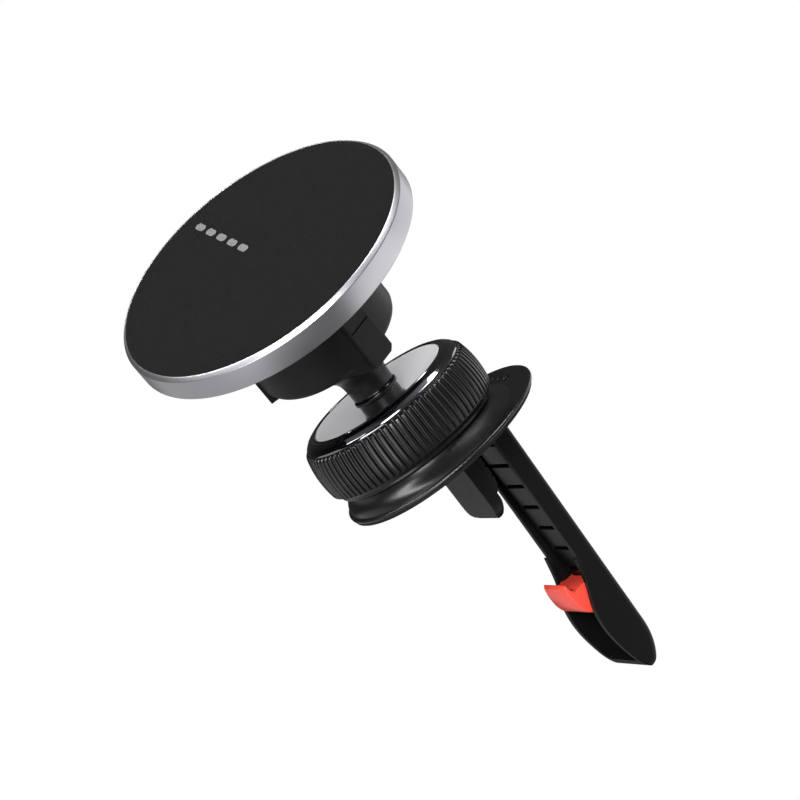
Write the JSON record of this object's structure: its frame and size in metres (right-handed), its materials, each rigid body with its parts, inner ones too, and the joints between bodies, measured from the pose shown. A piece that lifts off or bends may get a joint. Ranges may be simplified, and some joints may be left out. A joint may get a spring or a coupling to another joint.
{
  "type": "car air vent phone mount",
  "caption": "Magnetic phone mount for a car air vent: round magnetic head on a ball joint, clamping knob, and a hook arm with a sliding claw.",
  "frame": {"origin": "on the clamping knob's axis, in the plane of the flange's rubber foot", "axes": "+Y from the mount into the vent, along the knob's axis; +Z from the knob's axis towards the hook arm; +X sideways, along the vent's slat; the magnetic face looks towards -Y"},
  "size_m": [0.0586, 0.1188, 0.0601],
  "materials": {
    "fabric_face": "fine woven charcoal cloth",
    "bezel": "satin, fine bead blasted",
    "black_plastic": "matte, finely textured",
    "satin_black": "satin, lightly textured",
    "gloss_black": "polished dark chrome",
    "stud_black": "gloss black plate",
    "silver_dish": "satin silver",
    "foot_rubber": "matte",
    "claw_red": "satin coral red",
    "steel": "zinc plated",
    "magnet": "nickel plated",
    "spring_steel": "bright",
    "liner": "smooth"
  },
  "bodies": {
    "base": {"flange": "satin_black", "flange_pad": "foot_rubber", "glide_ring": "liner", "centre_post": "satin_black", "jaw": "satin_black", "jaw_pad": "foot_rubber", "jaw_screws": "steel"},
    "knob": {"knob_barrel": "satin_black", "knob_rim": "gloss_black", "dish_insert": "silver_dish", "thread_sleeve": "liner"},
    "arm": {"arm_channel": "satin_black", "ladder_strip": "black_plastic", "carriage": "satin_black", "carriage_screws": "steel"},
    "claw": {"claw": "claw_red", "claw_spring": "spring_steel"},
    "stud": {"ball_stud": "stud_black", "stud_clip": "spring_steel", "stud_screw": "steel"},
    "socket": {"ball_cup": "liner"},
    "head": {"face_pad": "fabric_face", "head_ring": "bezel", "magnet_tray": "black_plastic", "magnet_ring": "magnet", "shunt_plate": "steel", "back_cover": "bezel", "head_screws": "steel", "socket_housing": "black_plastic", "socket_nut": "satin_black"}
  },
  "joints": [
    {"name": "knob_turn", "type": "hinge", "parent": "base", "child": "knob", "pos_m": [0, 0, 0], "axis": [0, 1, 0], "range_deg": [0, 600]},
    {"name": "arm_slide", "type": "slide", "parent": "base", "child": "arm", "axis": [0, 1, 0], "range_m": [-0.0044, 0]},
    {"name": "claw_shift", "type": "slide", "parent": "arm", "child": "claw", "axis": [0, 1, 0], "range_m": [-0.01527, 0]},
    {"name": "ball_azimuth", "type": "hinge", "parent": "base", "child": "stud", "pos_m": [0, -0.0291, 0], "axis": [0, 1, 0], "continuous": true},
    {"name": "ball_tilt", "type": "hinge", "parent": "stud", "child": "socket", "pos_m": [0, -0.0291, 0], "axis": [0.3944, 0, 0.9189], "range_deg": [-18.7, 17.2]},
    {"name": "head_spin", "type": "hinge", "parent": "socket", "child": "head", "pos_m": [0, -0.0291, 0], "axis": [0.2951, -0.947, -0.1267], "continuous": true}
  ],
  "couplings": [
    {"joint": "arm_slide", "follows": "knob_turn", "m_per_rad": -0.0004138}
  ]
}
